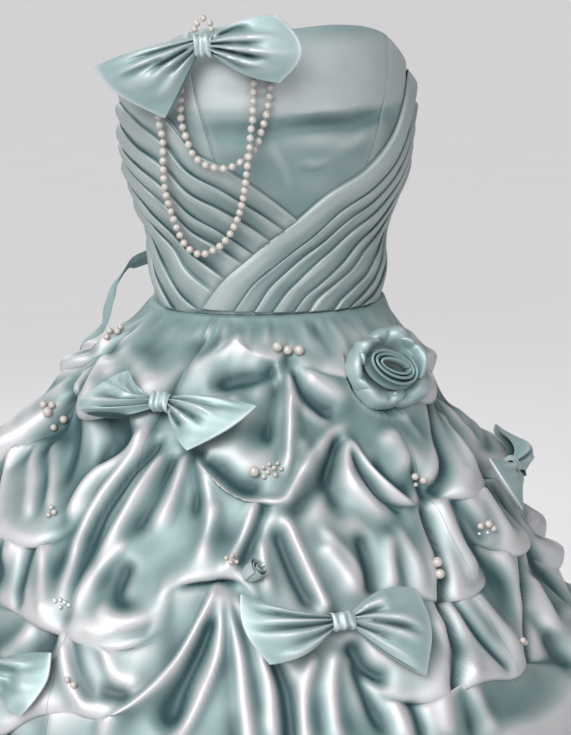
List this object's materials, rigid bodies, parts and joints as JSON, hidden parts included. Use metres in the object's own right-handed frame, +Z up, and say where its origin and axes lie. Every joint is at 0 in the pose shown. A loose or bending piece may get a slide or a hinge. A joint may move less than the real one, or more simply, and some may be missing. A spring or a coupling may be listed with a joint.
{
  "type": "ball gown",
  "caption": "Strapless floor-length satin ball gown with a pleated wrap bodice, picked-up skirt, bows, a rolled rose and pearl swags.",
  "frame": {"origin": "centre of the waist, at the seam between bodice and skirt, where the wearer holds the gown up", "axes": "+Z up towards the neckline, -Y out of the front of the gown, +X to the right as seen from the front"},
  "size_m": [1.2726, 1.2709, 1.3346],
  "materials": {
    "bodice_satin": "liquid satin",
    "skirt_satin": "liquid satin",
    "trim_satin": "liquid satin",
    "pearl": "pearl lustre"
  },
  "bodies": {
    "root": {"bodice_center_front": "bodice_satin", "bodice_side_front_left": "bodice_satin", "bodice_side_front_right": "bodice_satin", "bodice_back_left": "bodice_satin", "bodice_back_right": "bodice_satin", "wrap_left": "bodice_satin", "wrap_right": "bodice_satin", "skirt_front": "skirt_satin", "skirt_side_left": "skirt_satin", "skirt_side_right": "skirt_satin", "skirt_back_left": "skirt_satin", "skirt_back_right": "skirt_satin", "bow_top_loop_left": "trim_satin", "bow_top_loop_right": "trim_satin", "bow_top_knot": "trim_satin", "bow_hip_loop_left": "trim_satin", "bow_hip_loop_right": "trim_satin", "bow_hip_knot": "trim_satin", "bow_low_loop_left": "trim_satin", "bow_low_loop_right": "trim_satin", "bow_low_knot": "trim_satin", "bow_side_loop_left": "trim_satin", "bow_side_loop_right": "trim_satin", "bow_side_knot": "trim_satin", "bow_far_loop_left": "trim_satin", "bow_far_loop_right": "trim_satin", "bow_far_knot": "trim_satin", "rose_heart": "trim_satin", "rose_petal_1": "trim_satin", "rose_petal_2": "trim_satin", "rose_petal_3": "trim_satin", "rose_petal_4": "trim_satin", "rose_petal_5": "trim_satin", "rose_petal_6": "trim_satin", "ribbon_band": "trim_satin", "ribbon_knot": "trim_satin", "ribbon_tail_left": "trim_satin", "ribbon_tail_right": "trim_satin", "pearl_row": "pearl", "pearl_spray": "pearl", "pearl_far_left": "pearl", "pearl_right_upper": "pearl", "pearl_right_edge": "pearl", "pearl_right_lower": "pearl", "pearl_side_cluster": "pearl", "strand_short": "pearl", "strand_long": "pearl"}
  },
  "joints": []
}
